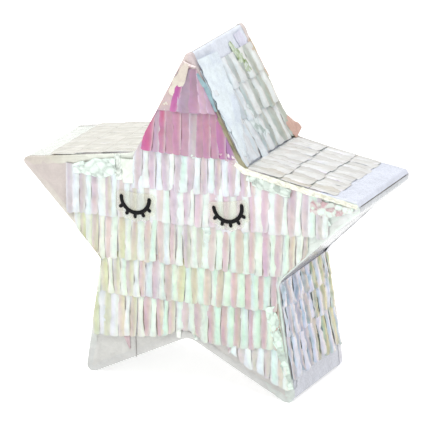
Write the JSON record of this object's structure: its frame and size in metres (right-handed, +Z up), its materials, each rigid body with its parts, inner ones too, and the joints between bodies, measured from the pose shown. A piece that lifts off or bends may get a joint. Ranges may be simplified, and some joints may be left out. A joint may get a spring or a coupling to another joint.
{
  "type": "star pinata",
  "caption": "Star-shaped party pinata of boards under pearly film fringe, with sleepy eyes, two feet to stand on and a hinged filling door in the back.",
  "frame": {"origin": "under the star's centre, on the surface that the two feet stand on", "axes": "+X to the viewer's right along the arms, +Y to the back, so the face looks along -Y, +Z up through the top point"},
  "size_m": [0.411, 0.1447, 0.389],
  "materials": {
    "card": "plain brown corrugated card",
    "wrap_film": "creased glossy pearl film",
    "pearl_fringe": "glossy iridescent film, mint, pink and cream",
    "side_fringe": "glossy iridescent film, lavender and white",
    "clear_film": "glossy clear film over the fringe",
    "black_vinyl": "satin black sticker"
  },
  "bodies": {
    "shell": {"front_panel": "card", "back_panel": "card", "wall_top_right": "card", "wall_right_arm_upper": "card", "wall_right_arm_lower": "card", "wall_right_leg_outer": "card", "wall_right_leg_inner": "card", "wall_left_leg_inner": "card", "wall_left_leg_outer": "card", "wall_left_arm_lower": "card", "wall_left_arm_upper": "card", "wall_top_left": "card", "wrap_top": "wrap_film", "wrap_left_arm": "wrap_film", "wrap_left_leg": "wrap_film", "wrap_right_leg": "wrap_film", "wrap_right_arm": "wrap_film", "fringe_front_row_1": "pearl_fringe", "fringe_front_row_2": "pearl_fringe", "fringe_front_row_3": "pearl_fringe", "fringe_front_row_4": "pearl_fringe", "fringe_front_row_5": "pearl_fringe", "fringe_front_row_6": "pearl_fringe", "fringe_front_row_7_left": "pearl_fringe", "fringe_front_row_7_right": "pearl_fringe", "fringe_front_row_8_right": "pearl_fringe", "fringe_back_row_1": "pearl_fringe", "fringe_back_row_2": "pearl_fringe", "fringe_back_row_3": "pearl_fringe", "fringe_back_row_4_left": "pearl_fringe", "fringe_back_row_4_right": "pearl_fringe", "fringe_back_row_5_left": "pearl_fringe", "fringe_back_row_5_right": "pearl_fringe", "fringe_back_row_6": "pearl_fringe", "fringe_back_row_7_left": "pearl_fringe", "fringe_back_row_7_right": "pearl_fringe", "fringe_top_right": "side_fringe", "fringe_top_left": "side_fringe", "fringe_right_arm_upper": "side_fringe", "fringe_left_arm_upper": "side_fringe", "fringe_right_leg_outer": "side_fringe", "fringe_left_leg_outer": "side_fringe", "eye_film_left": "clear_film", "eye_lashes_left": "black_vinyl", "eye_film_right": "clear_film", "eye_lashes_right": "black_vinyl"},
    "fill_door": {"fill_door": "card", "fringe_door_upper": "pearl_fringe", "fringe_door_lower": "pearl_fringe"}
  },
  "joints": [
    {"name": "fill_door_hinge", "type": "hinge", "parent": "shell", "child": "fill_door", "pos_m": [0, 0.068, 0.22298], "axis": [1, 0, 0], "range_deg": [0, 100]}
  ]
}
